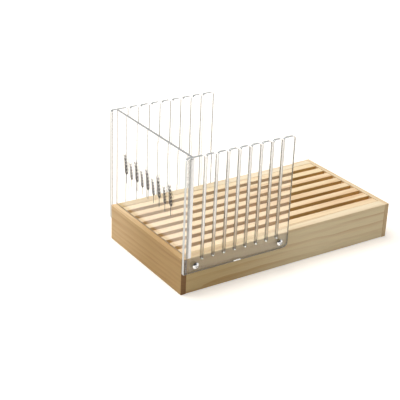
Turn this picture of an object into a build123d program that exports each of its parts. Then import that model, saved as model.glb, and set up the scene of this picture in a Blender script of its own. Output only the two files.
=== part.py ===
"""Bread slicer guide: a pine crumb box with a lift-out slatted grate, and a clear slotted guide.

Millimetres. +X runs along the box, away from the guide, +Y to the rear and +Z up.
The origin is the centre of the box's footprint, on the surface that it stands on.
"""
from build123d import *
import os

os.makedirs("parts", exist_ok=True)

# ---------------------------------------------------------------- driving dimensions, mm
# Pine box
box_length = 330.0
box_width = 174.0
box_height = 49.0
end_board_thickness = 7.5
side_board_thickness = 13.0
board_edge_radius = 1.0        # eased outer edges of the boards
panel_thickness = 4.0
panel_height = 4.0             # underside of the bottom panel above the table
groove_depth = 3.5             # how far the bottom panel enters the boards
panel_play = 0.2               # clearance round the bottom panel in its grooves

# Dowels in the corner joints, two to a corner
dowel_radius = 2.5
dowel_length = 18.0
dowel_in_end_board = 5.0
dowel_height = 13.5            # lower dowel above the table
dowel_spacing = 15.0
dowel_play = 0.05

# Grate
slat_count = 8
slat_width = 11.4
slat_thickness = 9.0
slat_edge_radius = 0.8
grate_play = 0.5               # clearance round the grate in the box
batten_width = 14.0
batten_thickness = 9.0
batten_play = 1.5              # between an end batten and the ledge beside it

# Ledges that the grate rests on
ledge_width = 12.0
ledge_height = 14.0
ledge_play = 0.2               # between a ledge's ends and the side boards
seat_gap = 0.3                 # between a ledge's top and the slats

# Brads
brad_radius = 0.7
brad_head_radius = 1.3
brad_head_thickness = 0.6
brad_play = 0.05
slat_brad_length = 14.0
ledge_brad_length = 16.0
ledge_brad_count = 3
ledge_brad_pitch = 50.0

# Clear guide: two slotted side plates outside the box, and the end plate between them
guide_inset = 0.6              # from the box's left end to the side plates
guide_rise = 131.0             # top of the guide above the box's rim
guide_overlap = 19.5           # how far the side plates reach down over the side boards
side_plate_thickness = 4.5
end_plate_thickness = 3.5
first_finger_width = 24.4
finger_width = 12.7            # the thickness of a slice
last_finger_width = 16.2
slot_width = 3.2
slot_count = 8
slot_end_below_rim = 4.0       # the slots end below the rim, so the knife cuts right through
finger_tip_radius = 3.0
plate_corner_radius = 6.0      # lower corner at the free end
plate_edge_chamfer = 0.35
gate_mark_length = 10.5        # moulding mark on the lower edge of a side plate
gate_mark_height = 1.6
gate_mark_relief = 0.4

# Screws that hold the guide to the side boards, two to a side
screw_radius = 2.0
screw_core_radius = 1.4
screw_thread_pitch = 1.6
screw_length = 14.0            # under the head
screw_tip_length = 2.4
screw_head_radius = 4.3
screw_head_height = 2.8
screw_head_rim = 0.9           # straight part of the head's side
screw_recess_span = 4.8
screw_recess_width = 1.1
screw_recess_depth = 1.5
screw_below_rim = 10.5
screw_from_closed_end = 16.7   # from the side plate's end at the end plate
screw_from_free_end = 12.7
screw_hole_play = 0.25         # in the side plate
screw_pilot_play = 0.05        # in the side board

# ---------------------------------------------------------------- sizes worked out from them
left_end = -box_length / 2
right_end = box_length / 2
inner_left = left_end + end_board_thickness
inner_right = right_end - end_board_thickness
inner_width = box_width - 2 * side_board_thickness
outer_y = box_width / 2
inner_y = inner_width / 2

slat_left = inner_left + end_plate_thickness + grate_play
slat_right = inner_right - grate_play
slat_length = slat_right - slat_left
slat_bottom = box_height - slat_thickness
grate_width = inner_width - 2 * grate_play
crumb_gap = (grate_width - slat_count * slat_width) / (slat_count - 1)
slat_ys = [
    -grate_width / 2 + slat_width / 2 + i * (slat_width + crumb_gap)
    for i in range(slat_count)
]
batten_bottom = slat_bottom - batten_thickness
batten_reach = ledge_width + batten_play + batten_width / 2
batten_xs = {
    "left_batten": inner_left + batten_reach,
    "middle_batten": (slat_left + slat_right) / 2,
    "right_batten": inner_right - batten_reach,
}
ledge_top = slat_bottom - seat_gap
ledge_brad_ys = [
    (i - (ledge_brad_count - 1) / 2) * ledge_brad_pitch for i in range(ledge_brad_count)
]

guide_left = left_end + guide_inset
guide_length = (
    first_finger_width
    + slot_count * slot_width
    + (slot_count - 1) * finger_width
    + last_finger_width
)
guide_right = guide_left + guide_length
guide_bottom = box_height - guide_overlap
guide_top = box_height + guide_rise
slot_bottom = box_height - slot_end_below_rim
slot_xs = [
    guide_left + first_finger_width + slot_width / 2 + i * (finger_width + slot_width)
    for i in range(slot_count)
]
screw_z = box_height - screw_below_rim
screw_xs = (guide_left + screw_from_closed_end, guide_right - screw_from_free_end)

dowel_zs = (dowel_height, dowel_height + dowel_spacing)
dowel_y = outer_y - side_board_thickness / 2


# ---------------------------------------------------------------- small helpers
def block(x0, x1, y0, y1, z0, z1):
    """A rectangular block between two corners."""
    size = Box(x1 - x0, y1 - y0, z1 - z0)
    return Pos((x0 + x1) / 2, (y0 + y1) / 2, (z0 + z1) / 2) * size


def rod(radius, length):
    """A round bar that stands on the origin, along +Z."""
    return Cylinder(radius, length, align=(Align.CENTER, Align.CENTER, Align.MIN))


def along_x(solid, x, y, z, towards=1):
    """Turn a solid that stands along +Z to run along +X or -X from a point."""
    return Pos(x, y, z) * Rot(0, 90 * towards, 0) * solid


def mirrored(solid):
    """The same piece on the other side of the box's middle plane."""
    return mirror(solid, about=Plane.XZ)


def edges_at(solid, axis, value):
    """The straight edges that lie wholly at one coordinate."""
    return solid.edges().filter_by(
        lambda e: all(abs(getattr(v, axis) - value) < 1e-4 for v in e.vertices())
    )


def write(name, shape):
    """Write one sub-part to its own STEP file; a list becomes a group of separate solids."""
    if isinstance(shape, list):
        shape = Compound(children=shape)
    export_step(shape, f"parts/{name}.step")


# ---------------------------------------------------------------- box
def dowel(play=0.0):
    """A corner dowel, or with play the hole that it sits in."""
    return rod(dowel_radius + play, dowel_length + 2 * play)


def dowels_at(end, play=0.0):
    """The four dowels of one end of the box: end is -1 on the left and 1 on the right."""
    start = end * (box_length / 2 - end_board_thickness + dowel_in_end_board + play)
    return [
        along_x(dowel(play), start, side * dowel_y, z, -end)
        for side in (-1, 1)
        for z in dowel_zs
    ]


def front_side_board():
    """Long board between the end boards, with the panel's groove and the screws' pilot holes."""
    board = block(inner_left, inner_right, -outer_y, -inner_y, 0, box_height)
    board = fillet(edges_at(board, "Y", -outer_y).filter_by(Axis.X), board_edge_radius)
    board -= block(
        inner_left, inner_right,
        -inner_y - groove_depth, -inner_y,
        panel_height - panel_play, panel_height + panel_thickness + panel_play,
    )
    for end in (-1, 1):
        for hole in dowels_at(end, dowel_play):
            board -= hole
    for x in screw_xs:
        board -= screw_hole(x, screw_pilot_play)
    return board


def end_board(end):
    """Board across one end of the box, over the side boards' end grain."""
    x_out, x_in = end * box_length / 2, end * (box_length / 2 - end_board_thickness)
    board = block(min(x_out, x_in), max(x_out, x_in), -outer_y, outer_y, 0, box_height)
    board = fillet(edges_at(board, "X", x_out), board_edge_radius)
    x_groove = x_in + end * groove_depth
    y_groove = inner_y + groove_depth
    board -= block(
        min(x_groove, x_in), max(x_groove, x_in), -y_groove, y_groove,
        panel_height - panel_play, panel_height + panel_thickness + panel_play,
    )
    for hole in dowels_at(end, dowel_play):
        board -= hole
    for hole in ledge_brads_at(end, brad_play):
        board -= hole
    return board


def bottom_panel():
    """Plywood panel that closes the box, held in the grooves of the four boards."""
    reach = groove_depth - panel_play
    return block(
        inner_left - reach, inner_right + reach, -inner_y - reach, inner_y + reach,
        panel_height, panel_height + panel_thickness,
    )


# ---------------------------------------------------------------- ledges and brads
def brad(length, play=0.0):
    """A brad that stands on its head along +Z, or with play the hole that it sits in."""
    shank = rod(brad_radius + play, length + play)
    head = rod(brad_head_radius + play, brad_head_thickness + play)
    return shank + head


def ledge_brads_at(end, play=0.0):
    """The brads of one ledge, driven outwards through it into the end board."""
    start = end * (box_length / 2 - end_board_thickness - ledge_width)
    z = ledge_top - ledge_height / 2
    return [along_x(brad(ledge_brad_length, play), start, y, z, end) for y in ledge_brad_ys]


def ledge(end):
    """Strip on the inner face of an end board, under the ends of the slats."""
    x_board = end * (box_length / 2 - end_board_thickness)
    x_free = x_board - end * ledge_width
    y_end = inner_y - ledge_play
    strip = block(
        min(x_board, x_free), max(x_board, x_free), -y_end, y_end,
        ledge_top - ledge_height, ledge_top,
    )
    for hole in ledge_brads_at(end, brad_play):
        strip -= hole
    return strip


# ---------------------------------------------------------------- grate
def slat_brads(play=0.0, xs=None, ys=None):
    """Brads from under the battens up into the slats, at every crossing that is asked for."""
    return [
        Pos(x, y, batten_bottom) * brad(slat_brad_length, play)
        for x in (xs or batten_xs.values())
        for y in (ys or slat_ys)
    ]


def slat(y):
    """One lengthwise slat, its upper edges eased."""
    half = slat_width / 2
    bar = block(slat_left, slat_right, y - half, y + half, slat_bottom, box_height)
    bar = fillet(edges_at(bar, "Z", box_height), slat_edge_radius)
    for hole in slat_brads(brad_play, ys=[y]):
        bar -= hole
    return bar


def batten(x):
    """One cross batten under the slats."""
    half_x, half_y = batten_width / 2, grate_width / 2
    bar = block(x - half_x, x + half_x, -half_y, half_y, batten_bottom, slat_bottom)
    for hole in slat_brads(brad_play, xs=[x]):
        bar -= hole
    return bar


# ---------------------------------------------------------------- guide
def screw_profile():
    """Half section of a screw: radius along X, and height along Y from under the head."""
    turns = int((screw_length - side_plate_thickness - screw_tip_length) / screw_thread_pitch)
    thread_start = -(screw_length - screw_tip_length - turns * screw_thread_pitch)
    points = [(0, 0), (screw_radius, 0), (screw_radius, thread_start)]
    for i in range(turns):
        top = thread_start - i * screw_thread_pitch
        points.append((screw_core_radius, top - screw_thread_pitch / 4))
        points.append((screw_core_radius, top - screw_thread_pitch / 2))
        points.append((screw_radius, top - screw_thread_pitch))
    points.append((0, -screw_length))
    return make_face(Polyline(*points, close=True))


def head_profile():
    """Half section of the pan head, domed above its rim."""
    top, rim = (0, screw_head_height), (screw_head_radius, screw_head_rim)
    outline = Polyline(top, (0, 0), (screw_head_radius, 0), rim)
    return make_face(outline + TangentArc(top, rim, tangent=(1, 0)))


def screw():
    """Pan-head screw along +Y, its head outwards at -Y and its seat at the origin."""
    body = revolve(screw_profile(), Axis.Y) + revolve(head_profile(), Axis.Y)
    for turn in (0, 90):
        bar = Box(screw_recess_span, 2 * screw_recess_depth, screw_recess_width)
        body -= Pos(0, screw_head_height, 0) * Rot(0, turn, 0) * bar
    return Rot(0, 0, 180) * body


def screw_hole(x, play):
    """Hole along Y for one screw of the front plate, from the plate's face to past the tip."""
    hole = rod(screw_radius + play, screw_length + play)
    return Pos(x, -outer_y - side_plate_thickness, screw_z) * Rot(-90, 0, 0) * hole


def front_screws():
    """The two screws of the front plate."""
    return [Pos(x, -outer_y - side_plate_thickness, screw_z) * screw() for x in screw_xs]


def front_side_plate():
    """Slotted side plate: fingers above, a plain band below that is screwed to the box."""
    centre_x, centre_z = (guide_left + guide_right) / 2, (guide_bottom + guide_top) / 2
    outline = Pos(centre_x, centre_z) * Rectangle(guide_length, guide_top - guide_bottom)
    slot_height = guide_top - slot_bottom
    for x in slot_xs:
        straight = slot_height - slot_width / 2
        outline -= Pos(x, guide_top - straight / 2) * Rectangle(slot_width, straight)
        outline -= Pos(x, guide_top - straight) * Circle(slot_width / 2)
    tips = [v for v in outline.vertices() if abs(v.Y - guide_top) < 1e-4]
    outline = fillet(tips, finger_tip_radius)
    corner = [
        v for v in outline.vertices()
        if abs(v.Y - guide_bottom) < 1e-4 and abs(v.X - guide_right) < 1e-4
    ]
    outline = fillet(corner, plate_corner_radius)
    plate = Pos(0, -outer_y, 0) * Rot(90, 0, 0) * extrude(outline, side_plate_thickness)
    faces = plate.faces().sort_by(Axis.Y)
    plate = chamfer(faces[0].edges() + faces[-1].edges(), plate_edge_chamfer)
    for x in screw_xs:
        plate -= screw_hole(x, screw_hole_play)
    mark = Box(gate_mark_length, 2 * gate_mark_relief, gate_mark_height)
    mark_z = guide_bottom + plate_edge_chamfer + gate_mark_height / 2
    return plate + Pos(centre_x, -outer_y - side_plate_thickness, mark_z) * mark


def end_plate():
    """Clear plate across the closed end, cemented between the side plates on the rim."""
    plate = block(
        inner_left, inner_left + end_plate_thickness, -outer_y, outer_y, box_height, guide_top,
    )
    return chamfer(edges_at(plate, "Z", guide_top), plate_edge_chamfer)


# ---------------------------------------------------------------- write the sub-parts
side_board = front_side_board()
write("front_side_board", side_board)
write("rear_side_board", mirrored(side_board))
write("left_end_board", end_board(-1))
write("right_end_board", end_board(1))
write("bottom_panel", bottom_panel())
write("corner_dowels", dowels_at(-1) + dowels_at(1))
write("left_ledge", ledge(-1))
write("right_ledge", ledge(1))
write("ledge_brads", ledge_brads_at(-1) + ledge_brads_at(1))

for number, y in enumerate(slat_ys, start=1):
    write(f"slat_{number}", slat(y))
for name, x in batten_xs.items():
    write(name, batten(x))
write("batten_brads", slat_brads())

side_plate = front_side_plate()
write("front_slotted_plate", side_plate)
write("rear_slotted_plate", mirrored(side_plate))
write("end_plate", end_plate())
write("front_guide_screws", front_screws())
write("rear_guide_screws", [mirrored(s) for s in front_screws()])
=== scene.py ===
"""Looks of the bread slicer guide: a pine crumb box with a slatted grate, and a clear slotted guide.

Metres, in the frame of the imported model: +X along the box away from the guide, +Y to the rear, +Z up.
"""
import math

import bpy
from mathutils import Matrix, Vector

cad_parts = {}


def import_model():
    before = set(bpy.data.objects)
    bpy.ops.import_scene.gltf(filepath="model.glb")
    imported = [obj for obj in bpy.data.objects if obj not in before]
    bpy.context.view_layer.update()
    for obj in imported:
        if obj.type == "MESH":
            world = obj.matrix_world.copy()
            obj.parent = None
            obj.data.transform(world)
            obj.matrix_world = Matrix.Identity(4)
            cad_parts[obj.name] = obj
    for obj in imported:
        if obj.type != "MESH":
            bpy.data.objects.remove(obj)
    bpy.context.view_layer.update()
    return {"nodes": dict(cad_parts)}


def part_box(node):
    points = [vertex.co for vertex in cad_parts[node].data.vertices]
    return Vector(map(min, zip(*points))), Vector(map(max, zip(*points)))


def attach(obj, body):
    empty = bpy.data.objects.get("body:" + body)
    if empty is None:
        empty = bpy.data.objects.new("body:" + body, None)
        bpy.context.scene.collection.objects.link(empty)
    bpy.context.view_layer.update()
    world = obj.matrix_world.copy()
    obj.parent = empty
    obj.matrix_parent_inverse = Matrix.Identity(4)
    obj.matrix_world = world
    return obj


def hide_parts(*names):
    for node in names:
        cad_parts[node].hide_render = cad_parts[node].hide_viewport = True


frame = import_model()

MM = 0.001
MIX_A, MIX_B, MIX_RESULT = 6, 7, 2     # a colour mix node's sockets
WAVE_PERIOD = math.pi / 10             # period of a wave texture at a scale of 1
BODY = "box"                           # what the guide is screwed to

# Sizes of the clear guide, as it is moulded
sheet_thickness = 4.5 * MM
first_finger = 24.4 * MM               # from the closed end to the first slot
finger = 12.7 * MM
slot_width = 3.2 * MM
slot_count = 8
slot_below_rim = 4.0 * MM              # the slots end below the box's rim
tip_radius = 3.0 * MM
corner_radius = 6.0 * MM               # of the lower corner at the free end
screw_hole_radius = 2.25 * MM
gate_mark_length, gate_mark_height, gate_mark_relief = 10.5 * MM, 1.6 * MM, 0.4 * MM
gate_mark_lift = 0.35 * MM             # from the sheet's lower edge
rib_inset, rib_width, rib_relief = 2.5 * MM, 7.0 * MM, 1.4 * MM
rib_setback = 2.0 * MM                 # by which the rib is shorter than the sheet
joint_gap = 0.1 * MM                   # film of air between the sheets and what they touch
eased_edge = 0.4 * MM                  # radius of the softened edges
same_place = 0.01 * MM                 # points nearer than this count as one
end_reach = 0.05 * MM                  # an edge nearer than this to the sheet's end is the end

# The printed row of wheat on the closed end, its middle a little to the rear
print_middle, print_foot = 6.0 * MM, 89.0 * MM
ink_thickness = 0.1 * MM
ink_lift = 0.6 * ink_thickness         # from the sheet's face to the middle of the ink


# ---------------------------------------------------------------- small helpers
def linear(hex_colour, alpha=1.0):
    """A linear colour from sRGB hex such as F0D8B0."""
    parts = [int(hex_colour[i : i + 2], 16) / 255 for i in (0, 2, 4)]
    return tuple(c / 12.92 if c <= 0.04045 else ((c + 0.055) / 1.055) ** 2.4 for c in parts) + (alpha,)


def add(tree, kind, inputs=None, **settings):
    """Add one node with its settings.

    Inputs hold, by name or number, a value, the node or socket that feeds it, or a list of feeds.
    """
    node = tree.nodes.new(kind)
    for name, value in settings.items():
        setattr(node, name, value)
    for key, given in (inputs or {}).items():
        for value in given if isinstance(given, list) else [given]:
            if isinstance(value, bpy.types.Node):
                value = value.outputs[0]
            if isinstance(value, bpy.types.NodeSocket):
                tree.links.new(value, node.inputs[key])
            else:
                node.inputs[key].default_value = value
    return node


def new_material(name):
    """An empty node material and its tree."""
    material = bpy.data.materials.new(name)
    material.use_nodes = True
    material.node_tree.nodes.clear()
    return material, material.node_tree


def dress(names, material):
    """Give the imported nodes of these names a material."""
    for name in names:
        for slot in frame["nodes"][name].material_slots:
            slot.material = material


# ---------------------------------------------------------------- camera
def camera():
    """The photographed view: from the left front, a little above."""
    place = Vector((-0.7720, -1.0226, 0.6463))
    heading, pitch, roll = (math.radians(a) for a in (33.95, -24.92, 2.33))
    focal_pixels, image_pixels = 1062.1, 400
    data = bpy.data.cameras.new("camera")
    data.sensor_width = 36.0
    data.lens = data.sensor_width * focal_pixels / image_pixels
    data.clip_start, data.clip_end = 0.05, 30
    turn = Matrix.Rotation(-heading, 4, "Z")
    lean = Matrix.Rotation(math.pi / 2 + pitch, 4, "X")
    shooter = bpy.data.objects.new("camera", data)
    shooter.matrix_world = Matrix.Translation(place) @ turn @ lean @ Matrix.Rotation(roll, 4, "Z")
    bpy.context.scene.collection.objects.link(shooter)
    bpy.context.scene.camera = shooter


# ---------------------------------------------------------------- studio
def seen_directly(tree):
    """1 for what is seen, also in a mirror or through clear plastic, and 0 for what lights wood."""
    path = add(tree, "ShaderNodeLightPath")
    mirror = add(
        tree, "ShaderNodeMath",
        {0: path.outputs["Is Camera Ray"], 1: path.outputs["Is Glossy Ray"]}, operation="MAXIMUM",
    )
    through = add(
        tree, "ShaderNodeMath",
        {0: mirror, 1: path.outputs["Is Transmission Ray"]}, operation="MAXIMUM",
    )
    unlit = add(
        tree, "ShaderNodeMath", {0: path.outputs["Diffuse Depth"], 1: 0.5}, operation="LESS_THAN",
    )
    return add(tree, "ShaderNodeMath", {0: through, 1: unlit}, operation="MULTIPLY")


def world():
    """White to the eye, a plain soft light to the object, and dim overhead and behind the viewer."""
    ambient, white, dim_front, dim_overhead = 0.44, 1.1, 0.10, 0.50
    to_scene = (0.35, 0.80, -0.48)
    studio = bpy.data.worlds.new("studio")
    bpy.context.scene.world = studio
    studio.use_nodes = True
    tree = studio.node_tree
    tree.nodes.clear()
    path = add(tree, "ShaderNodeLightPath")
    place = add(tree, "ShaderNodeTexCoord")
    away = add(
        tree, "ShaderNodeVectorMath",
        {0: place.outputs["Generated"], 1: to_scene}, operation="DOT_PRODUCT",
    )
    front = add(
        tree, "ShaderNodeMapRange",
        {"Value": away.outputs["Value"], "From Min": -0.75, "From Max": -0.25, "To Min": dim_front},
    )
    height = add(tree, "ShaderNodeSeparateXYZ", {0: place.outputs["Generated"]})
    overhead = add(
        tree, "ShaderNodeMapRange",
        {"Value": height.outputs["Z"], "From Min": 0.2, "From Max": 0.8,
         "To Min": 1.0, "To Max": dim_overhead},
    )
    dim = add(tree, "ShaderNodeMath", {0: front, 1: overhead}, operation="MULTIPLY")
    eye = add(tree, "ShaderNodeMath", {0: dim, 1: path.outputs["Is Camera Ray"]}, operation="MAXIMUM")
    seen = add(tree, "ShaderNodeMath", {0: eye, 1: white}, operation="MULTIPLY")
    strength = add(tree, "ShaderNodeMix", {0: seen_directly(tree), 2: ambient, 3: seen})
    light = add(tree, "ShaderNodeBackground", {"Color": linear("FFFFFF"), "Strength": strength})
    add(tree, "ShaderNodeOutputWorld", {"Surface": light})


def floor():
    """White paper sweep: matt, so the soft shadow stays on it, and plain white far away."""
    half = 5.0
    near, near_glow = 0.45, 0.34
    far, far_glow = 1.1, 1.2
    mesh = bpy.data.meshes.new("floor")
    corners = [(-half, -half, 0), (half, -half, 0), (half, half, 0), (-half, half, 0)]
    mesh.from_pydata(corners, [], [(0, 1, 2, 3)])
    material, tree = new_material("white_paper_sweep")
    place = add(tree, "ShaderNodeTexCoord")
    distance = add(tree, "ShaderNodeVectorMath", {0: place.outputs["Object"]}, operation="LENGTH")
    glow = add(
        tree, "ShaderNodeMapRange",
        {"Value": distance.outputs["Value"], "From Min": near, "From Max": far,
         "To Min": near_glow, "To Max": far_glow},
    )
    matt = add(tree, "ShaderNodeBsdfDiffuse", {"Color": linear("CECECE")})
    pale = add(tree, "ShaderNodeBsdfDiffuse", {"Color": linear("FFF7EC")})
    lit = add(tree, "ShaderNodeEmission", {"Color": linear("FFFFFF"), "Strength": glow})
    seen = add(tree, "ShaderNodeAddShader", {0: pale, 1: lit})
    paper = add(tree, "ShaderNodeMixShader", {0: seen_directly(tree), 1: matt, 2: seen})
    add(tree, "ShaderNodeOutputMaterial", {"Surface": paper})
    mesh.materials.append(material)
    sheet = bpy.data.objects.new("floor", mesh)
    bpy.context.scene.collection.objects.link(sheet)


def lamp(name, place, target, size, power):
    """A square soft box that points at the target."""
    data = bpy.data.lights.new(name, "AREA")
    data.size = size
    data.energy = power
    light = bpy.data.objects.new(name, data)
    direction = Vector(target) - Vector(place)
    aim = direction.to_track_quat("-Z", "Y").to_matrix().to_4x4()
    light.matrix_world = Matrix.Translation(place) @ aim
    bpy.context.scene.collection.objects.link(light)


# ---------------------------------------------------------------- wood
def log_space(tree, place, grain, heart, turn, pieces_pitch):
    """Coordinates whose X runs along the log's centre line, and a random number for each piece."""
    spread = (0.3, 0.02, 0.05)         # how far apart in the log its pieces come from, in metres
    quarter = 90 if grain == "Y" else 0
    rotation = tuple(math.radians(a) for a in (0, turn[0], turn[1] + quarter))
    start = tuple(v * MM for v in heart)
    log = add(
        tree, "ShaderNodeMapping",
        {"Vector": place.outputs["Object"], "Location": start, "Rotation": rotation},
        vector_type="TEXTURE",
    )
    if not pieces_pitch:
        return log, None
    across = add(tree, "ShaderNodeSeparateXYZ", {0: place.outputs["Object"]})
    count = add(
        tree, "ShaderNodeMath", {0: across.outputs["Y"], 1: pieces_pitch * MM}, operation="DIVIDE",
    )
    number = add(tree, "ShaderNodeMath", {0: count}, operation="FLOOR")
    own = add(tree, "ShaderNodeTexWhiteNoise", {"W": number}, noise_dimensions="1D")
    moved = add(
        tree, "ShaderNodeVectorMath",
        {0: own.outputs["Color"], 1: spread, 2: log}, operation="MULTIPLY_ADD",
    )
    return moved, own


def growth(tree, log, ring_width):
    """How much summer wood shows at a point, in wandering rings, and the fine fibres.

    Pine's real fibres are about 0.05 mm wide. They are drawn 0.9 mm wide, so that they show.
    """
    sway_size, sway_reach, patch_size, fibre_size = 30 * MM, 26 * MM, 16 * MM, 0.9 * MM
    sway_stretch, fibre_stretch = (0.10, 1, 1), (0.03, 1, 1)    # long along the grain
    drawn = add(tree, "ShaderNodeVectorMath", {0: log, 1: sway_stretch}, operation="MULTIPLY")
    sway = add(tree, "ShaderNodeTexNoise", {"Vector": drawn, "Scale": 1 / sway_size, "Detail": 3.0})
    swayed = add(
        tree, "ShaderNodeVectorMath",
        {0: sway.outputs["Color"], 1: (0, sway_reach, sway_reach), 2: log}, operation="MULTIPLY_ADD",
    )
    rings = add(
        tree, "ShaderNodeTexWave", {"Vector": swayed, "Scale": WAVE_PERIOD / (ring_width * MM)},
        wave_type="RINGS", rings_direction="X", wave_profile="SAW",
    )
    late = add(
        tree, "ShaderNodeMapRange", {"Value": rings.outputs["Fac"], "From Min": 0.35, "From Max": 1.0},
        interpolation_type="SMOOTHSTEP",
    )
    patches = add(tree, "ShaderNodeTexNoise", {"Vector": drawn, "Scale": 1 / patch_size, "Detail": 3.0})
    tone = add(
        tree, "ShaderNodeMapRange",
        {"Value": patches, "From Min": 0.35, "From Max": 0.65, "To Min": 0.1},
    )
    summer = add(tree, "ShaderNodeMath", {0: late, 1: tone}, operation="MULTIPLY")
    strands = add(tree, "ShaderNodeVectorMath", {0: log, 1: fibre_stretch}, operation="MULTIPLY")
    fibres = add(
        tree, "ShaderNodeTexNoise", {"Vector": strands, "Scale": 1 / fibre_size, "Detail": 4.0},
    )
    return summer, fibres


def tinted(tree, colour, tint, amount=1.0):
    """A colour multiplied by a tint, as far as the amount says."""
    mixed = add(
        tree, "ShaderNodeMix", {0: amount, MIX_A: colour, MIX_B: tint},
        data_type="RGBA", blend_type="MULTIPLY",
    )
    return mixed.outputs[MIX_RESULT]


def wood_skin(tree, colour, relief, glossier, depth):
    """Bare wood of this colour, matt, less so where glossier is 1, with relief of a depth in mm."""
    matt, less_matt = 0.62, 0.5
    proud = add(tree, "ShaderNodeBump", {"Height": relief, "Strength": 0.4, "Distance": depth * MM})
    gloss = add(tree, "ShaderNodeMapRange", {"Value": glossier, "To Min": matt, "To Max": less_matt})
    skin = add(
        tree, "ShaderNodeBsdfPrincipled", {"Base Color": colour, "Roughness": gloss, "Normal": proud},
    )
    add(tree, "ShaderNodeOutputMaterial", {"Surface": skin})


def pine(
    name, grain, heart, turn, early, late, ring_width,
    side_shade="FFFFFF", end_grain="C9B79A", shade=None, pieces_pitch=None,
):
    """Pine, planed and sanded, with no finish on it: matt, with growth rings and darker end grain.

    grain is the axis along the fibres, heart a point on the log's centre line in mm and turn the
    line's small tilt in degrees. early and late are the colours of spring and summer wood, and the
    ring width is in mm. Side faces take the tint side_shade, a painted shade that makes them darker
    and warmer than the tops, and cut ends the tint end_grain. shade is an axis, the places in mm
    where a painted shade is full and gone, and its tint. With pieces_pitch in mm, each piece along Y
    comes from its own part of the log and has its own tint.
    Summer wood is a little proud and a little glossier.
    """
    material, tree = new_material(name)
    place = add(tree, "ShaderNodeTexCoord")
    log, own = log_space(tree, place, grain, heart, turn, pieces_pitch)
    summer, fibres = growth(tree, log, ring_width)
    wood = add(
        tree, "ShaderNodeMix", {0: summer, MIX_A: linear(early), MIX_B: linear(late)},
        data_type="RGBA",
    ).outputs[MIX_RESULT]
    fibre_tone = add(
        tree, "ShaderNodeMapRange",
        {"Value": fibres, "From Min": 0.25, "From Max": 0.75, "To Min": 0.92, "To Max": 1.05},
    )
    wood = add(
        tree, "ShaderNodeVectorMath", {0: wood, "Scale": fibre_tone}, operation="SCALE",
    ).outputs[0]
    faces = add(tree, "ShaderNodeSeparateXYZ", {0: place.outputs["Normal"]})
    # Cut ends take their end-grain tint; side faces take a painted shade tint, darker and warmer than
    # the tops
    end, side = ("X", "Y") if grain == "X" else ("Y", "X")
    for axis, tint in ((end, end_grain), (side, side_shade)):
        facing = add(tree, "ShaderNodeMath", {0: faces.outputs[axis]}, operation="ABSOLUTE")
        cut = add(tree, "ShaderNodeMapRange", {"Value": facing, "From Min": 0.6, "From Max": 0.95})
        wood = tinted(tree, wood, linear(tint), cut.outputs[0])
    # Painted shade: a tint that fades in along one axis and darkens the wood towards one end
    if shade:
        axis, full, gone, tint = shade
        spot = add(tree, "ShaderNodeSeparateXYZ", {0: place.outputs["Object"]})
        amount = add(
            tree, "ShaderNodeMapRange",
            {"Value": spot.outputs[axis], "From Min": full * MM, "From Max": gone * MM,
             "To Min": 1.0, "To Max": 0.0},
            interpolation_type="SMOOTHSTEP",
        )
        wood = tinted(tree, wood, linear(tint), amount.outputs[0])
    if own:
        tint = add(
            tree, "ShaderNodeMix",
            {0: own.outputs["Value"], MIX_A: linear("FFF6EE"), MIX_B: linear("FDF8EC")},
            data_type="RGBA",
        )
        wood = tinted(tree, wood, tint.outputs[MIX_RESULT])
    relief = add(tree, "ShaderNodeMath", {0: fibres, 1: summer}, operation="ADD")
    wood_skin(tree, wood, relief, summer, depth=0.04)
    return material


def plywood():
    """Birch plywood, sanded: a broad wandering figure, and three plies whose middle one is dark.

    Birch pores are about 0.1 mm wide. They are drawn 0.8 mm wide, so that they show.
    """
    ply, underside = 1.33 * MM, 4.0 * MM
    figure_size, figure_stretch, contour_count = 70 * MM, (0.35, 1, 1), 90.0
    pore_size, pore_stretch = 0.8 * MM, (0.1, 1, 1)
    material, tree = new_material("sanded_birch_plywood")
    place = add(tree, "ShaderNodeTexCoord")
    drawn = add(
        tree, "ShaderNodeVectorMath",
        {0: place.outputs["Object"], 1: figure_stretch}, operation="MULTIPLY",
    )
    hills = add(tree, "ShaderNodeTexNoise", {"Vector": drawn, "Scale": 1 / figure_size, "Detail": 2.0})
    contours = add(tree, "ShaderNodeMath", {0: hills, 1: contour_count}, operation="MULTIPLY")
    figure = add(tree, "ShaderNodeMath", {0: contours}, operation="SINE")
    late = add(tree, "ShaderNodeMapRange", {"Value": figure, "From Min": 0.0, "From Max": 1.0})
    wood = add(
        tree, "ShaderNodeMix", {0: late, MIX_A: linear("EAD3AC"), MIX_B: linear("E1C599")},
        data_type="RGBA",
    ).outputs[MIX_RESULT]
    spot = add(tree, "ShaderNodeSeparateXYZ", {0: place.outputs["Object"]})
    rise = add(tree, "ShaderNodeMath", {0: spot.outputs["Z"], 1: underside}, operation="SUBTRACT")
    layers = add(tree, "ShaderNodeMath", {0: rise, 1: ply}, operation="DIVIDE")
    layer = add(tree, "ShaderNodeMath", {0: layers}, operation="FLOOR")
    core = add(tree, "ShaderNodeMath", {0: layer, 1: 1.0}, operation="COMPARE")
    faces = add(tree, "ShaderNodeSeparateXYZ", {0: place.outputs["Normal"]})
    level = add(tree, "ShaderNodeMath", {0: faces.outputs["Z"]}, operation="ABSOLUTE")
    edge = add(tree, "ShaderNodeMapRange", {"Value": level, "From Min": 0.7, "From Max": 0.3})
    dark = add(tree, "ShaderNodeMath", {0: core, 1: edge}, operation="MULTIPLY")
    wood = tinted(tree, wood, linear("C9A77C"), dark)
    fine = add(tree, "ShaderNodeVectorMath", {0: drawn, 1: pore_stretch}, operation="MULTIPLY")
    pores = add(tree, "ShaderNodeTexNoise", {"Vector": fine, "Scale": 1 / pore_size, "Detail": 3.0})
    wood_skin(tree, wood, pores, late, depth=0.03)
    return material


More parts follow.
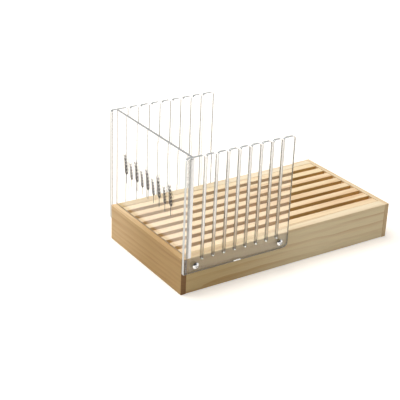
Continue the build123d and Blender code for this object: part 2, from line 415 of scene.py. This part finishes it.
def beech():
    """Turned beech dowel, no finish: pinkish tan and matt, with short darker flecks along it."""
    fleck_size, fleck_stretch = 0.9 * MM, (0.15, 1, 1)
    material, tree = new_material("turned_beech")
    place = add(tree, "ShaderNodeTexCoord")
    drawn = add(
        tree, "ShaderNodeVectorMath",
        {0: place.outputs["Object"], 1: fleck_stretch}, operation="MULTIPLY",
    )
    spots = add(tree, "ShaderNodeTexNoise", {"Vector": drawn, "Scale": 1 / fleck_size, "Detail": 1.0})
    flecks = add(tree, "ShaderNodeMapRange", {"Value": spots, "From Min": 0.55, "From Max": 0.7})
    wood = add(
        tree, "ShaderNodeMix", {0: flecks, MIX_A: linear("DDB389"), MIX_B: linear("B5835A")},
        data_type="RGBA",
    )
    wood_skin(tree, wood.outputs[MIX_RESULT], spots, flecks, depth=0.03)
    return material


# ---------------------------------------------------------------- clear plastic, metal, ink
def acrylic(name, roughness, clearness, mirror, colour="FFFFFF"):
    """Acrylic, clear where clearness is 1, with the faint ripple that moulding leaves on it.

    mirror is how much the surface shines like metal. It stands for the light that an edge throws
    back from inside the sheet, which makes cut edges look bright. colour tints that shine; a grey
    colour on an edge is painted shade, which makes it look grey.
    """
    ripple_size, ripple_depth = 12 * MM, 0.05 * MM
    material, tree = new_material(name)
    place = add(tree, "ShaderNodeTexCoord")
    ripple = add(
        tree, "ShaderNodeTexNoise", {"Vector": place.outputs["Object"], "Scale": 1 / ripple_size},
    )
    skin = add(tree, "ShaderNodeBump", {"Height": ripple, "Strength": 0.1, "Distance": ripple_depth})
    clear = add(
        tree, "ShaderNodeBsdfPrincipled",
        {"Base Color": linear(colour), "Roughness": roughness, "IOR": 1.49,
         "Transmission Weight": clearness, "Metallic": mirror, "Normal": skin},
    )
    through = add(tree, "ShaderNodeBsdfTransparent", {"Color": linear("F4F4F2")})
    path = add(tree, "ShaderNodeLightPath")
    sheet = add(
        tree, "ShaderNodeMixShader", {0: path.outputs["Is Shadow Ray"], 1: clear, 2: through},
    )
    add(tree, "ShaderNodeOutputMaterial", {"Surface": sheet})
    return material


def plated_steel(name, colour, smooth, worn, spot_size):
    """Plated steel. Its roughness goes from smooth to worn in soft spots of a size in mm."""
    material, tree = new_material(name)
    place = add(tree, "ShaderNodeTexCoord")
    spots = add(
        tree, "ShaderNodeTexNoise", {"Vector": place.outputs["Object"], "Scale": 1 / (spot_size * MM)},
    )
    wear = add(tree, "ShaderNodeMapRange", {"Value": spots, "To Min": smooth, "To Max": worn})
    metal = add(
        tree, "ShaderNodeBsdfPrincipled",
        {"Base Color": linear(colour), "Metallic": 1.0, "Roughness": wear},
    )
    add(tree, "ShaderNodeOutputMaterial", {"Surface": metal})
    return material


def ink():
    """Screen-printed ink: near black, matt, a little thin in places."""
    blot_size = 1.5 * MM
    material, tree = new_material("screen_printed_ink")
    place = add(tree, "ShaderNodeTexCoord")
    cover = add(
        tree, "ShaderNodeTexNoise", {"Vector": place.outputs["Object"], "Scale": 1 / blot_size},
    )
    shade = add(
        tree, "ShaderNodeMix", {0: cover, MIX_A: linear("231E19"), MIX_B: linear("3A332B")},
        data_type="RGBA",
    )
    skin = add(
        tree, "ShaderNodeBsdfPrincipled", {"Base Color": shade.outputs[MIX_RESULT], "Roughness": 0.5},
    )
    add(tree, "ShaderNodeOutputMaterial", {"Surface": skin})
    return material


# ---------------------------------------------------------------- pieces grown from a rule
def shape_tree(name, sizes):
    """An empty geometry tree with these named sizes, and the sockets that give them."""
    tree = bpy.data.node_groups.new(name, "GeometryNodeTree")
    tree.interface.new_socket("Geometry", in_out="OUTPUT", socket_type="NodeSocketGeometry")
    for label in sizes:
        kind = "Int" if label.endswith("Count") else "Float"
        tree.interface.new_socket(label, in_out="INPUT", socket_type="NodeSocket" + kind)
    return tree, tree.nodes.new("NodeGroupInput").outputs


def grown(name, tree, sizes, place):
    """A plain mesh piece that the tree makes with these sizes, moved to its place."""
    piece = bpy.data.objects.new(name, bpy.data.meshes.new(name))
    bpy.context.scene.collection.objects.link(piece)
    growth_step = piece.modifiers.new("growth", "NODES")
    growth_step.node_group = tree
    for item in tree.interface.items_tree:
        if item.in_out == "INPUT":
            growth_step[item.identifier] = sizes[item.name]
    bpy.context.view_layer.update()
    made = piece.evaluated_get(bpy.context.evaluated_depsgraph_get())
    mesh = bpy.data.meshes.new_from_object(made)
    piece.modifiers.remove(growth_step)
    piece.data = mesh
    mesh.name = name
    mesh.transform(place)
    return piece


def ease_edges(piece, width, material_index):
    """Round a piece's sharp edges a little, in a material of their own, and shade it smooth."""
    piece.data.shade_smooth()
    round_over = piece.modifiers.new("eased_edges", "BEVEL")
    round_over.width = width
    round_over.segments = 2
    round_over.limit_method = "ANGLE"
    round_over.angle_limit = math.radians(40)
    round_over.harden_normals = True
    round_over.material = material_index
    bpy.context.view_layer.update()
    made = piece.evaluated_get(bpy.context.evaluated_depsgraph_get())
    mesh = bpy.data.meshes.new_from_object(made)
    piece.modifiers.remove(round_over)
    piece.data = mesh


def sheet_corners(tree, size):
    """The corners of the sheet and of its slots, as closed four-sided curves."""
    corner = add(tree, "ShaderNodeCombineXYZ", {"X": size["Length"], "Y": size["Height"]})
    middle = add(tree, "ShaderNodeVectorMath", {0: corner, "Scale": 0.5}, operation="SCALE")
    outline = add(
        tree, "GeometryNodeCurvePrimitiveQuadrilateral",
        {"Width": size["Length"], "Height": size["Height"]},
    )
    outline = add(tree, "GeometryNodeTransform", {"Geometry": outline, "Translation": middle})
    depth = add(
        tree, "ShaderNodeMath", {0: size["Height"], 1: size["Slot Bottom"]}, operation="SUBTRACT",
    )
    centre = add(
        tree, "ShaderNodeMath", {0: depth, 1: 0.5, 2: size["Slot Bottom"]}, operation="MULTIPLY_ADD",
    )
    start = add(tree, "ShaderNodeCombineXYZ", {"X": size["First Slot"], "Y": centre})
    step = add(tree, "ShaderNodeCombineXYZ", {"X": size["Slot Pitch"]})
    row = add(
        tree, "GeometryNodeMeshLine",
        {"Count": size["Slot Count"], "Start Location": start, "Offset": step},
    )
    slot = add(
        tree, "GeometryNodeCurvePrimitiveQuadrilateral",
        {"Width": size["Slot Width"], "Height": depth},
    )
    slots = add(tree, "GeometryNodeInstanceOnPoints", {"Points": row, "Instance": slot})
    slots = add(tree, "GeometryNodeRealizeInstances", {"Geometry": slots})
    return add(tree, "GeometryNodeJoinGeometry", {0: [outline, slots]})


def one_line(tree, corners, where, tiny):
    """The corners in the order of one line round the sheet.

    From the top right corner it goes down and up each slot to the top left corner, then back along
    the lower edge.
    """
    far = 10.0                         # more than any length here, so the lower edge comes last
    points = add(tree, "GeometryNodeCurveToPoints", {"Curve": corners}, mode="EVALUATED")
    odd = add(
        tree, "ShaderNodeMath", {0: add(tree, "GeometryNodeInputIndex"), 1: 2.0}, operation="MODULO",
    )
    apart = add(tree, "ShaderNodeMath", {0: odd, 1: tiny}, operation="MULTIPLY")
    leftwards = add(tree, "ShaderNodeMath", {0: apart, 1: where.outputs["X"]}, operation="SUBTRACT")
    back = add(tree, "ShaderNodeMath", {0: where.outputs["X"], 1: far}, operation="ADD")
    below = add(tree, "ShaderNodeMath", {0: where.outputs["Y"], 1: tiny}, operation="LESS_THAN")
    order = add(tree, "ShaderNodeMix", {0: below, 2: leftwards, 3: back})
    line = add(tree, "GeometryNodePointsToCurves", {"Points": points, "Weight": order})
    return add(tree, "GeometryNodeSetSplineCyclic", {0: line, "Cyclic": True})


def corner_radii(tree, size, where, tiny):
    """Round slot ends, rounded finger tips, and one rounded lower corner at the free end."""
    almost_half = 0.499                # a full half leaves no edge between a slot's two lower corners
    free_end = add(tree, "ShaderNodeMath", {0: where.outputs["X"], 1: tiny}, operation="GREATER_THAN")
    lower = add(tree, "ShaderNodeMath", {0: free_end, 1: size["Corner Radius"]}, operation="MULTIPLY")
    slot_end = add(
        tree, "ShaderNodeMath", {0: size["Slot Width"], 1: almost_half}, operation="MULTIPLY",
    )
    raised = add(tree, "ShaderNodeMath", {0: where.outputs["Y"], 1: tiny}, operation="GREATER_THAN")
    radius = add(tree, "ShaderNodeMix", {0: raised, 2: lower, 3: slot_end})
    under_top = add(tree, "ShaderNodeMath", {0: size["Height"], 1: tiny}, operation="SUBTRACT")
    on_top = add(
        tree, "ShaderNodeMath", {0: where.outputs["Y"], 1: under_top}, operation="GREATER_THAN",
    )
    return add(tree, "ShaderNodeMix", {0: on_top, 2: radius, 3: size["Tip Radius"]})


def bead(tree, width, height, relief, x, y, z):
    """A rounded bead up the sheet that stands proud of the level z by its relief."""
    rod = add(
        tree, "GeometryNodeMeshCylinder", {"Vertices": 40, "Radius": 1.0, "Depth": height},
    )
    upright = add(tree, "GeometryNodeTransform", {"Geometry": rod, "Rotation": (math.pi / 2, 0, 0)})
    half_width = add(tree, "ShaderNodeMath", {0: width, 1: 0.5}, operation="MULTIPLY")
    flat = add(tree, "ShaderNodeCombineXYZ", {"X": half_width, "Y": 1.0, "Z": relief})
    place = add(tree, "ShaderNodeCombineXYZ", {"X": x, "Y": y, "Z": z})
    return add(
        tree, "GeometryNodeTransform", {"Geometry": upright, "Translation": place, "Scale": flat},
    )


def bar(tree, length, height, relief, x, y, z):
    """A bar that stands proud of the sheet on both sides of the level z by its relief."""
    double = add(tree, "ShaderNodeMath", {0: relief, 1: 2.0}, operation="MULTIPLY")
    size = add(tree, "ShaderNodeCombineXYZ", {"X": length, "Y": height, "Z": double})
    block = add(tree, "GeometryNodeMeshCube", {"Size": size})
    place = add(tree, "ShaderNodeCombineXYZ", {"X": x, "Y": y, "Z": z})
    return add(tree, "GeometryNodeTransform", {"Geometry": block, "Translation": place})


def raised_parts(tree, size):
    """The rib beside the sheet's closed end and the mark that the mould's gate leaves."""
    half_height = add(tree, "ShaderNodeMath", {0: size["Height"], 1: 0.5}, operation="MULTIPLY")
    rib_height = add(
        tree, "ShaderNodeMath", {0: size["Height"], 1: size["Rib Setback"]}, operation="SUBTRACT",
    )
    rib = bead(
        tree, size["Rib Width"], rib_height, size["Rib Relief"], size["Rib Middle"], half_height,
        size["Outer Face"],
    )
    half_length = add(tree, "ShaderNodeMath", {0: size["Length"], 1: 0.5}, operation="MULTIPLY")
    mark = bar(
        tree, size["Mark Length"], size["Mark Height"], size["Mark Relief"], half_length,
        size["Mark Middle"], size["Outer Face"],
    )
    return [rib, mark]


def pierced_sheet(tree, size, tiny):
    """The flat sheet, with slots cut down from its top edge and holes for its screws."""
    where = add(tree, "ShaderNodeSeparateXYZ", {0: add(tree, "GeometryNodeInputPosition")})
    loop = one_line(tree, sheet_corners(tree, size), where, tiny)
    rounded = add(
        tree, "GeometryNodeFilletCurve",
        {"Curve": loop, "Radius": corner_radii(tree, size, where, tiny), "Count": 8,
         "Limit Radius": True},
        mode="POLY",
    )
    first = add(tree, "ShaderNodeCombineXYZ", {"X": size["First Screw"], "Y": size["Screw Height"]})
    apart = add(tree, "ShaderNodeCombineXYZ", {"X": size["Screw Pitch"]})
    pair = add(
        tree, "GeometryNodeMeshLine",
        {"Count": size["Screw Count"], "Start Location": first, "Offset": apart},
    )
    ring = add(
        tree, "GeometryNodeCurvePrimitiveCircle",
        {"Resolution": 24, "Radius": size["Screw Hole Radius"]},
    )
    holes = add(tree, "GeometryNodeInstanceOnPoints", {"Points": pair, "Instance": ring})
    holes = add(tree, "GeometryNodeRealizeInstances", {"Geometry": holes})
    drawing = add(tree, "GeometryNodeJoinGeometry", {0: [rounded, holes]})
    flat = add(tree, "GeometryNodeFillCurve", {0: drawing}, mode="NGONS")
    thick = add(
        tree, "GeometryNodeExtrudeMesh",
        {"Mesh": flat, "Offset Scale": size["Thickness"], "Individual": False}, mode="FACES",
    )
    under = add(tree, "GeometryNodeFlipFaces", {0: flat})
    shell = add(tree, "GeometryNodeJoinGeometry", {0: [thick, under]})
    return add(tree, "GeometryNodeMergeByDistance", {0: shell, "Distance": tiny / 10})


def edge_finishes(tree, size, sheet, finish):
    """Give each edge of the sheet its finish, by the way it looks and where it is."""
    upright, downwards, leftwards, rightwards = 0.5, -0.7, -0.9, 0.9    # limits of a face's normal
    looks = add(tree, "ShaderNodeSeparateXYZ", {0: add(tree, "GeometryNodeInputNormal")})
    level = add(tree, "ShaderNodeMath", {0: looks.outputs["Z"]}, operation="ABSOLUTE")
    place = add(tree, "ShaderNodeSeparateXYZ", {0: add(tree, "GeometryNodeInputPosition")})
    middle = add(tree, "ShaderNodeMath", {0: size["Height"], 1: 0.5}, operation="MULTIPLY")
    is_edge = add(tree, "ShaderNodeMath", {0: level, 1: upright}, operation="LESS_THAN")
    is_upper = add(tree, "ShaderNodeMath", {0: place.outputs["Y"], 1: middle}, operation="GREATER_THAN")
    is_rim = add(tree, "ShaderNodeMath", {0: is_edge, 1: is_upper}, operation="MULTIPLY")
    is_foot = add(tree, "ShaderNodeMath", {0: looks.outputs["Y"], 1: downwards}, operation="LESS_THAN")
    is_left = add(tree, "ShaderNodeMath", {0: looks.outputs["X"], 1: leftwards}, operation="LESS_THAN")
    is_right = add(
        tree, "ShaderNodeMath", {0: looks.outputs["X"], 1: rightwards}, operation="GREATER_THAN",
    )
    at_end = add(tree, "ShaderNodeMath", {0: place.outputs["X"], 1: end_reach}, operation="LESS_THAN")
    is_end = add(tree, "ShaderNodeMath", {0: is_left, 1: at_end}, operation="MULTIPLY")
    # On the slotted sheets, edges that look right, the closed end, the rims and the feet take materials
    # painted grey as painted shade; the plain sheet's foot is painted brown
    edges = (
        (is_edge, "left"), (is_rim, "rim"), (is_foot, "foot"),
        (is_left, "left"), (is_right, "right"), (is_end, "end"),
    )
    for chosen, edge in edges:
        sheet = add(
            tree, "GeometryNodeSetMaterial",
            {"Geometry": sheet, "Selection": chosen, "Material": finish[edge]},
        )
    return sheet


def clear_sheet_tree(finish, raised):
    """A clear sheet that lies in XY with its lower left corner at the origin and its thickness up.

    finish holds the materials of its face, its edges that look left and right, its left end, its rim
    and its foot. A raised sheet has a rib beside its left end and the gate's mark at its foot.
    """
    labels = [
        "Length", "Height", "Thickness", "Slot Count", "First Slot", "Slot Pitch", "Slot Width",
        "Slot Bottom", "Tip Radius", "Corner Radius", "Screw Count", "First Screw", "Screw Pitch",
        "Screw Height", "Screw Hole Radius",
    ]
    if raised:
        labels += [
            "Rib Middle", "Rib Width", "Rib Relief", "Rib Setback", "Mark Length", "Mark Height",
            "Mark Relief", "Mark Middle", "Outer Face",
        ]
    tree, size = shape_tree("clear_sheet", labels)
    sheet = pierced_sheet(tree, size, same_place)
    sheet = add(tree, "GeometryNodeSetMaterial", {"Geometry": sheet, "Material": finish["face"]})
    if raised:
        rib, mark = raised_parts(tree, size)
        rib = add(tree, "GeometryNodeSetMaterial", {"Geometry": rib, "Material": finish["face"]})
        mark = add(tree, "GeometryNodeSetMaterial", {"Geometry": mark, "Material": finish["left"]})
        sheet = add(
            tree, "GeometryNodeMeshBoolean", {"Mesh 2": [sheet, rib, mark]},
            operation="UNION", solver="EXACT",
        )
    sheet = add(tree, "GeometryNodeRealizeInstances", {"Geometry": sheet})
    sheet = edge_finishes(tree, size, sheet, finish)
    add(tree, "NodeGroupOutput", {0: sheet})
    return tree


def finish_sheet(piece, node, corner):
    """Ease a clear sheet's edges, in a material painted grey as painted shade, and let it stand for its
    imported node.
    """
    piece.data.materials.append(corner)
    ease_edges(piece, eased_edge, len(piece.data.materials) - 1)
    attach(piece, BODY)
    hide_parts(node)


def guide_finishes():
    """The finishes of the slotted sheets, those of the end sheet, and that of all softened edges.
    Several are painted grey or brown as painted shade.
    """
    # As it leaves the mould: clear as glass, and glossy
    face = acrylic("moulded_clear_acrylic", roughness=0.0, clearness=1.0, mirror=0.0)
    # Sawn edges that look left: satin, and bright, as white bars
    left = acrylic("satin_acrylic_edge", roughness=0.40, clearness=0.0, mirror=0.9, colour="F4F4F2")
    # The cut edge at the closed end: satin, and painted pale grey as painted shade
    end = acrylic("satin_acrylic_end_painted_grey_shade", roughness=0.30, clearness=0.0, mirror=0.7, colour="C4C6C5")
    # Edges that look right: smoother, and painted dark grey as painted shade, the shaded twin of the
    # bright edges, as grey lines beside the white bars
    right = acrylic(
        "acrylic_right_edge_painted_grey_shade", roughness=0.15, clearness=0.0, mirror=0.85, colour="868887",
    )
    # The fingers' tips and the slotted sheets' feet: smooth, and painted mid grey as painted shade
    # against the white ground
    rim = acrylic("acrylic_rim_painted_grey_shade", roughness=0.20, clearness=0.0, mirror=0.7, colour="B0B2B1")
    # The end sheet's top edge: polished clear, so it shows as a fine line
    end_rim = acrylic("polished_acrylic_end_rim", roughness=0.02, clearness=1.0, mirror=0.35)
    # The end sheet's foot: matt, and painted brown as the painted shade and reflection of the wood
    # below it
    foot = acrylic(
        "acrylic_foot_painted_wood_shade", roughness=0.6, clearness=0.0, mirror=0.0, colour="A07C50",
    )
    # Softened edges: half clear, and painted grey as painted shade, as thin grey outlines
    soft = acrylic(
        "acrylic_corner_painted_grey_shade", roughness=0.30, clearness=0.6, mirror=0.5, colour="AAACAB",
    )
    # The cemented joints at the end sheet's sides: satin, as a soft pale line
    weld = acrylic("welded_acrylic_joint", roughness=0.30, clearness=0.0, mirror=0.6)
    slotted = {"face": face, "left": left, "right": right, "end": end, "rim": rim, "foot": rim}
    plain = {"face": face, "left": weld, "right": weld, "end": weld, "rim": end_rim, "foot": foot}
    return slotted, plain, soft


def plain_sheet_sizes(end_low, end_high):
    """The sizes of the sheet across the closed end, which has no slots and no screws."""
    return {
        "Length": 2 * (end_high.y - joint_gap),
        "Height": end_high.z - end_low.z - joint_gap,
        "Thickness": end_high.x - end_low.x,
        "Slot Count": 0,
        "First Slot": first_finger + slot_width / 2,
        "Slot Pitch": finger + slot_width,
        "Slot Width": slot_width,
        "Slot Bottom": 0.0,
        "Tip Radius": 0.0,
        "Corner Radius": 0.0,
        "Screw Count": 0,
        "First Screw": 0.0,
        "Screw Pitch": 0.0,
        "Screw Height": 0.0,
        "Screw Hole Radius": screw_hole_radius,
    }


def slotted_sheet_sizes(low, high, top_of_box):
    """The sizes in which a slotted side sheet differs from the plain sheet."""
    screw_low, screw_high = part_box("front_guide_screws")
    head_radius = (screw_high.z - screw_low.z) / 2
    return {
        "Length": high.x - low.x,
        "Height": high.z - low.z,
        "Thickness": sheet_thickness - joint_gap,
        "Slot Count": slot_count,
        "Slot Bottom": top_of_box - slot_below_rim - low.z,
        "Tip Radius": tip_radius,
        "Corner Radius": corner_radius,
        "Screw Count": 2,
        "First Screw": screw_low.x + head_radius - low.x,
        "Screw Pitch": screw_high.x - screw_low.x - 2 * head_radius,
        "Screw Height": (screw_low.z + screw_high.z) / 2 - low.z,
        "Rib Middle": rib_inset + rib_width / 2,
        "Rib Width": rib_width,
        "Rib Relief": rib_relief,
        "Rib Setback": rib_setback,
        "Mark Length": gate_mark_length,
        "Mark Height": gate_mark_height,
        "Mark Relief": gate_mark_relief,
        "Mark Middle": gate_mark_lift + gate_mark_height / 2,
    }


def clear_guide():
    """The two slotted side sheets and the plain sheet across the closed end."""
    slotted_finish, plain_finish, corner = guide_finishes()
    low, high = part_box("front_slotted_plate")
    end_low, end_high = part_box("end_plate")
    top_of_box, inner = end_low.z, end_high.y
    plain = plain_sheet_sizes(end_low, end_high)
    slotted = {**plain, **slotted_sheet_sizes(low, high, top_of_box)}
    upright = Matrix.Rotation(math.pi / 2, 4, "X")
    across = Matrix.Rotation(math.pi / 2, 4, "Z") @ upright
    tree = clear_sheet_tree(slotted_finish, raised=True)
    # Each side, where its sheet lies in Y, and the level of the outer face within the sheet
    sides = (
        ("front", -inner - joint_gap, sheet_thickness - joint_gap),
        ("rear", inner + sheet_thickness, 0.0),
    )
    for side, y, outside in sides:
        place = Matrix.Translation((low.x, y, low.z)) @ upright
        sizes = {**slotted, "Outer Face": outside}
        sheet = grown(f"{side}_slotted_sheet", tree, sizes, place)
        finish_sheet(sheet, f"{side}_slotted_plate", corner)
    place = Matrix.Translation((end_low.x, joint_gap - inner, top_of_box + joint_gap)) @ across
    tree = clear_sheet_tree(plain_finish, raised=False)
    finish_sheet(grown("plain_end_sheet", tree, plain, place), "end_plate", corner)


# ---------------------------------------------------------------- printed wheat
def ear_of_wheat(tree, size, pair):
    """One upright ear on its bowed stalk: pairs of grains along the upper part, smaller to the tip."""
    straight, bare, smallest = 0.6, 0.35, 0.7    # shares of the height, the stalk and a grain's size
    knee = add(tree, "ShaderNodeMath", {0: size["Ear Height"], 1: straight}, operation="MULTIPLY")
    bend = add(tree, "ShaderNodeCombineXYZ", {"Y": knee})
    tip = add(tree, "ShaderNodeCombineXYZ", {"X": size["Bow"], "Y": size["Ear Height"]})
    stem = add(
        tree, "GeometryNodeCurveQuadraticBezier",
        {"Resolution": 16, "Start": (0, 0, 0), "Middle": bend, "End": tip},
    )
    width = add(tree, "ShaderNodeMath", {0: size["Stalk Width"], 1: 0.5}, operation="MULTIPLY")
    section = add(tree, "GeometryNodeCurvePrimitiveCircle", {"Resolution": 6, "Radius": width})
    stalk = add(
        tree, "GeometryNodeCurveToMesh", {"Curve": stem, "Profile Curve": section, "Fill Caps": True},
    )
    upper = add(tree, "GeometryNodeTrimCurve", {0: stem, "Start": bare, "End": 1.0})
    dots = add(tree, "GeometryNodeCurveToPoints", {"Curve": upper, "Count": size["Grain Count"]})
    facing = add(
        tree, "FunctionNodeAlignRotationToVector", {"Vector": dots.outputs["Tangent"]}, axis="X",
    )
    along = add(
        tree, "ShaderNodeMath", {0: add(tree, "GeometryNodeInputIndex"), 1: size["Grain Count"]},
        operation="DIVIDE",
    )
    smaller = add(tree, "ShaderNodeMapRange", {"Value": along, "To Min": 1.0, "To Max": smallest})
    grains = add(
        tree, "GeometryNodeInstanceOnPoints",
        {"Points": dots, "Instance": pair, "Rotation": facing, "Scale": smaller},
    )
    return add(tree, "GeometryNodeJoinGeometry", {0: [stalk, grains]})


def almond(tree, length, width, thickness):
    """A flat pointed grain, from the origin along +X."""
    tip_width = 0.4                    # share of the ball's own width that is left at the two tips
    ball = add(tree, "GeometryNodeMeshUVSphere", {"Segments": 12, "Rings": 8, "Radius": 1.0})
    spot = add(tree, "GeometryNodeInputPosition")
    where = add(tree, "ShaderNodeSeparateXYZ", {0: spot})
    square = add(
        tree, "ShaderNodeMath", {0: where.outputs["X"], 1: where.outputs["X"]}, operation="MULTIPLY",
    )
    taper = add(tree, "ShaderNodeMapRange", {"Value": square, "To Min": 1.0, "To Max": tip_width})
    pointed = add(tree, "ShaderNodeCombineXYZ", {"X": 1.0, "Y": taper, "Z": 1.0})
    forward = add(tree, "ShaderNodeCombineXYZ", {"X": 1.0})
    shape = add(
        tree, "ShaderNodeVectorMath", {0: spot, 1: pointed, 2: forward}, operation="MULTIPLY_ADD",
    )
    sizes = add(tree, "ShaderNodeCombineXYZ", {"X": length, "Y": width, "Z": thickness})
    half = add(tree, "ShaderNodeVectorMath", {0: sizes, "Scale": 0.5}, operation="SCALE")
    shape = add(tree, "ShaderNodeVectorMath", {0: shape, 1: half}, operation="MULTIPLY")
    return add(tree, "GeometryNodeSetPosition", {"Geometry": ball, "Position": shape})


def wheat_print_tree(colour):
    """A row of upright ears of wheat that lies flat in XY, with its feet on X and its middle at 0.

    Every second ear is a low one.
    """
    tree, size = shape_tree(
        "wheat_print",
        ["Ear Count", "Ear Pitch", "Ear Height", "Bow", "Grain Count", "Grain Length", "Grain Width",
         "Awn Length", "Awn Width", "Stalk Width", "Ink Thickness"],
    )
    lean, low_ear = math.radians(28), 0.82
    beside, awn_start = 0.2, 0.9       # shares of a grain's width and length
    grain = almond(tree, size["Grain Length"], size["Grain Width"], size["Stalk Width"])
    awn = almond(tree, size["Awn Length"], size["Awn Width"], size["Stalk Width"])
    reach = add(tree, "ShaderNodeMath", {0: size["Grain Length"], 1: awn_start}, operation="MULTIPLY")
    beyond = add(tree, "ShaderNodeCombineXYZ", {"X": reach})
    awn = add(tree, "GeometryNodeTransform", {"Geometry": awn, "Translation": beyond})
    bearded = add(tree, "GeometryNodeJoinGeometry", {0: [grain, awn]})
    sides = []
    for sense in (1, -1):
        aside = add(
            tree, "ShaderNodeMath", {0: size["Grain Width"], 1: beside * sense}, operation="MULTIPLY",
        )
        shift = add(tree, "ShaderNodeCombineXYZ", {"Y": aside})
        turned = add(
            tree, "GeometryNodeTransform",
            {"Geometry": bearded, "Rotation": (0, 0, sense * lean), "Translation": shift},
        )
        sides.append(turned)
    pair = add(tree, "GeometryNodeJoinGeometry", {0: sides})
    ear = ear_of_wheat(tree, size, pair)
    last = add(tree, "ShaderNodeMath", {0: size["Ear Count"], 1: 1.0}, operation="SUBTRACT")
    width = add(tree, "ShaderNodeMath", {0: last, 1: size["Ear Pitch"]}, operation="MULTIPLY")
    half = add(tree, "ShaderNodeMath", {0: width, 1: -0.5}, operation="MULTIPLY")
    first = add(tree, "ShaderNodeCombineXYZ", {"X": half})
    step = add(tree, "ShaderNodeCombineXYZ", {"X": size["Ear Pitch"]})
    feet = add(
        tree, "GeometryNodeMeshLine",
        {"Count": size["Ear Count"], "Start Location": first, "Offset": step},
    )
    second = add(
        tree, "ShaderNodeMath", {0: add(tree, "GeometryNodeInputIndex"), 1: 2.0}, operation="MODULO",
    )
    scale = add(tree, "ShaderNodeMapRange", {"Value": second, "To Min": 1.0, "To Max": low_ear})
    row = add(tree, "GeometryNodeInstanceOnPoints", {"Points": feet, "Instance": ear, "Scale": scale})
    flatness = add(
        tree, "ShaderNodeMath", {0: size["Ink Thickness"], 1: size["Stalk Width"]}, operation="DIVIDE",
    )
    flat = add(tree, "ShaderNodeCombineXYZ", {"X": 1.0, "Y": 1.0, "Z": flatness})
    row = add(tree, "GeometryNodeRealizeInstances", {"Geometry": row})
    row = add(tree, "GeometryNodeTransform", {"Geometry": row, "Scale": flat})
    row = add(tree, "GeometryNodeSetMaterial", {"Geometry": row, "Material": colour})
    add(tree, "NodeGroupOutput", {0: row})
    return tree


def printed_wheat():
    """The print on the outer face of the closed end."""
    sizes = {
        "Ear Count": 9,
        "Ear Pitch": 13.5 * MM,
        "Ear Height": 34 * MM,
        "Bow": 4 * MM,
        "Grain Count": 6,
        "Grain Length": 7.0 * MM,
        "Grain Width": 2.8 * MM,
        "Awn Length": 6 * MM,
        "Awn Width": 0.5 * MM,
        "Stalk Width": 1.2 * MM,
        "Ink Thickness": ink_thickness,
    }
    end_low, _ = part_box("end_plate")
    across = Matrix.Rotation(math.pi / 2, 4, "Z") @ Matrix.Rotation(math.pi / 2, 4, "X")
    place = Matrix.Translation((end_low.x - ink_lift, print_middle, print_foot)) @ across
    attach(grown("wheat_print", wheat_print_tree(ink()), sizes, place), BODY)


# ---------------------------------------------------------------- the object, dressed
camera()
world()
floor()
lamp("overhead_soft_box", place=(-0.35, 0.45, 1.5), target=(0, 0, 0.05), size=1.3, power=20.5)

# Side boards: warm cream; painted shade greys them towards the closed end and warms their front and
# rear faces
board = pine(
    "planed_pine", grain="X", heart=(0, 30, -70), turn=(1.0, 0.8),
    early="F6E3C0", late="D9B486", ring_width=9.0, side_shade="FFFCF0", shade=("X", -130, 50, "E0D4BA"),
)
# Closed end: darker and redder; painted shade darkens it towards the front and, with real end grain,
# browns its ends
left_board = pine(
    "planed_pine_dark_end", grain="Y", heart=(-190, 0, -50), turn=(1.0, 0.8),
    early="F0D1A4", late="DAAF7C", ring_width=7.0, side_shade="FBF3E2", end_grain="B29C80",
    shade=("Y", -20, 85, "D7CEB6"),
)
# Free end: pale, also at its end grain
right_board = pine(
    "planed_pine_pale_end", grain="Y", heart=(-190, 0, -50), turn=(1.0, 0.8),
    early="EED6B0", late="DFBF92", ring_width=7.0, side_shade="FBF3E2", end_grain="ECE3D2",
)
# Slats: the palest, each a strip of its own at the slats' pitch, with browner sides as painted shade in
# the gaps
slats = pine(
    "planed_pine_slats", grain="X", heart=(0, 30, -120), turn=(0.6, 0.7),
    early="FAE6C2", late="E7C497", ring_width=6.0, side_shade="E0D1A4", pieces_pitch=19.37,
)
# Battens and ledges: browner, with close rings
battens = pine(
    "sawn_pine", grain="Y", heart=(40, 0, -35), turn=(0.8, 1.4),
    early="EBCD9E", late="CFA373", ring_width=4.0, side_shade="F4E6CC",
)
# Screws: a bright mirror. Brads: dull and bluish
chrome = plated_steel("chrome_plated_steel", "E4E5E6", smooth=0.05, worn=0.12, spot_size=3)
zinc = plated_steel("zinc_plated_steel", "C3C8CB", smooth=0.25, worn=0.45, spot_size=1)
dress(["front_side_board", "rear_side_board"], board)
dress(["left_end_board"], left_board)
dress(["right_end_board"], right_board)
dress([f"slat_{i}" for i in range(1, 9)], slats)
dress(["left_batten", "middle_batten", "right_batten", "left_ledge", "right_ledge"], battens)
dress(["bottom_panel"], plywood())
dress(["corner_dowels"], beech())
dress(["front_guide_screws", "rear_guide_screws"], chrome)
dress(["ledge_brads", "batten_brads"], zinc)
clear_guide()
printed_wheat()

scene = bpy.context.scene
scene.view_settings.view_transform = "Standard"
